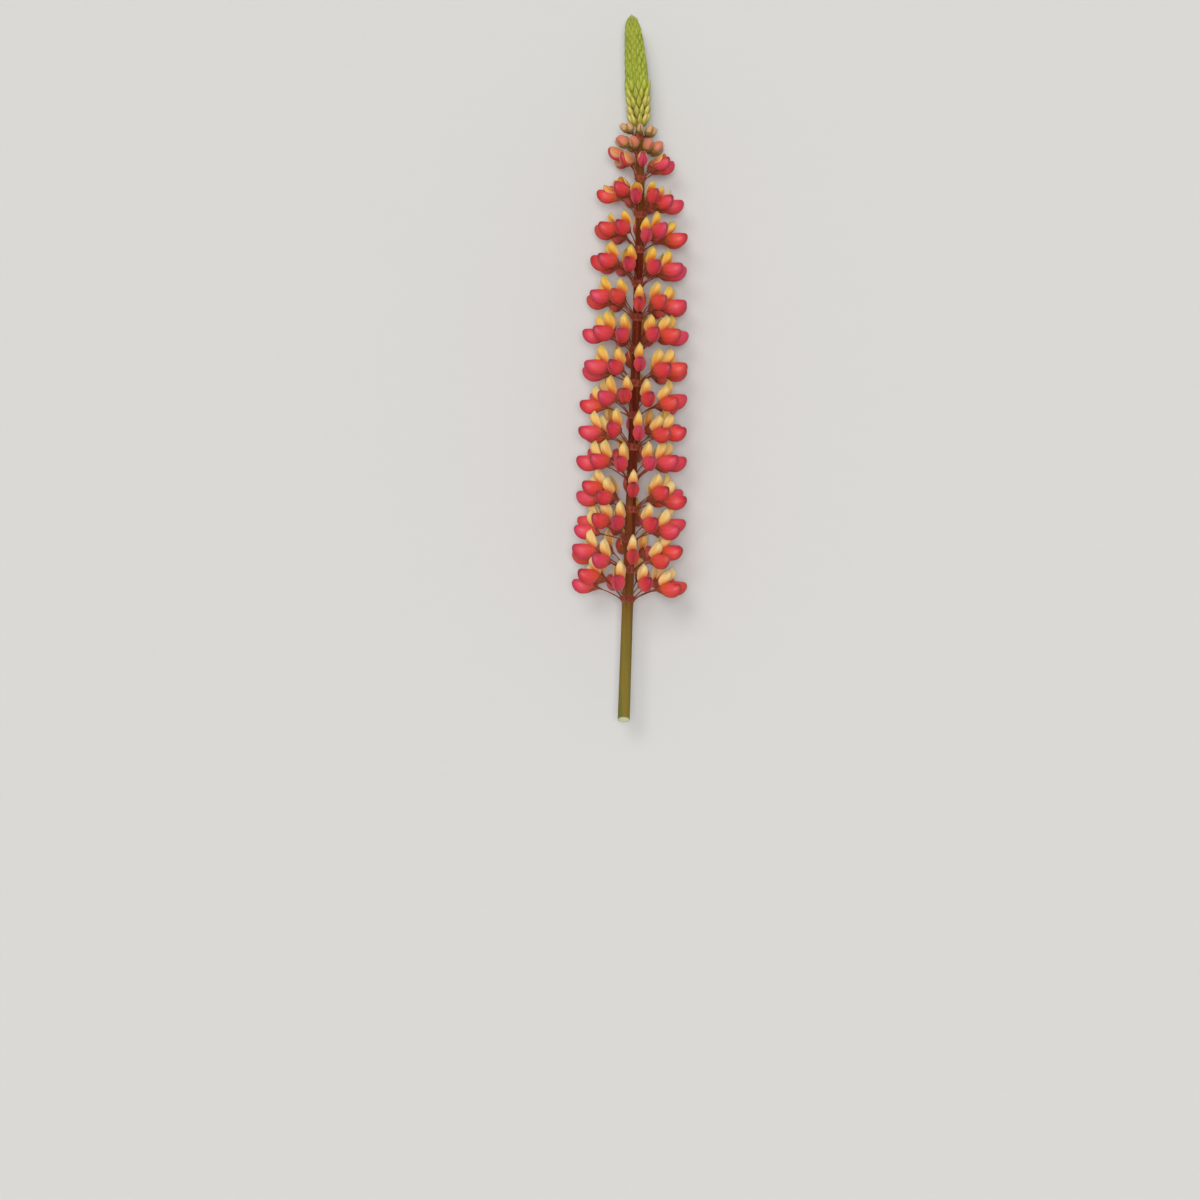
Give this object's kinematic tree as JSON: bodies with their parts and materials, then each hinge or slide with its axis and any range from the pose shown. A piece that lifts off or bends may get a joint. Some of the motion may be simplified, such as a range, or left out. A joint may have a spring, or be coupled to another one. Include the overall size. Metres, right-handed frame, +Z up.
{
  "type": "lupin flower spike",
  "caption": "Cut lupin flower spike lying on its side: rings of coral and yellow pea flowers on a dark stem below a tapering green bud tip.",
  "frame": {"origin": "on the surface the spike lies on, under the middle of its box", "axes": "+Y along the stem from the cut end to the green tip, +Z up from the surface, +X across"},
  "size_m": [0.0872, 0.5303, 0.0809],
  "materials": {
    "stem": "matt, finely hairy, maroon-brown, greener towards the cut end",
    "petals": "soft satin petals, coral red wings and a yellow banner",
    "coloured_buds": "matt, silky-haired salmon buds",
    "green_buds": "matt, silky-haired yellow-green buds"
  },
  "bodies": {
    "root": {"stem": "stem", "whorl_01": "petals", "whorl_02": "petals", "whorl_03": "petals", "whorl_04": "petals", "whorl_05": "petals", "whorl_06": "petals", "whorl_07": "petals", "whorl_08": "petals", "whorl_09": "petals", "whorl_10": "petals", "whorl_11": "petals", "whorl_12": "petals", "whorl_13": "petals", "whorl_14": "petals", "bud_whorl_1": "coloured_buds", "bud_whorl_2": "coloured_buds", "bud_tip": "green_buds"}
  },
  "joints": []
}
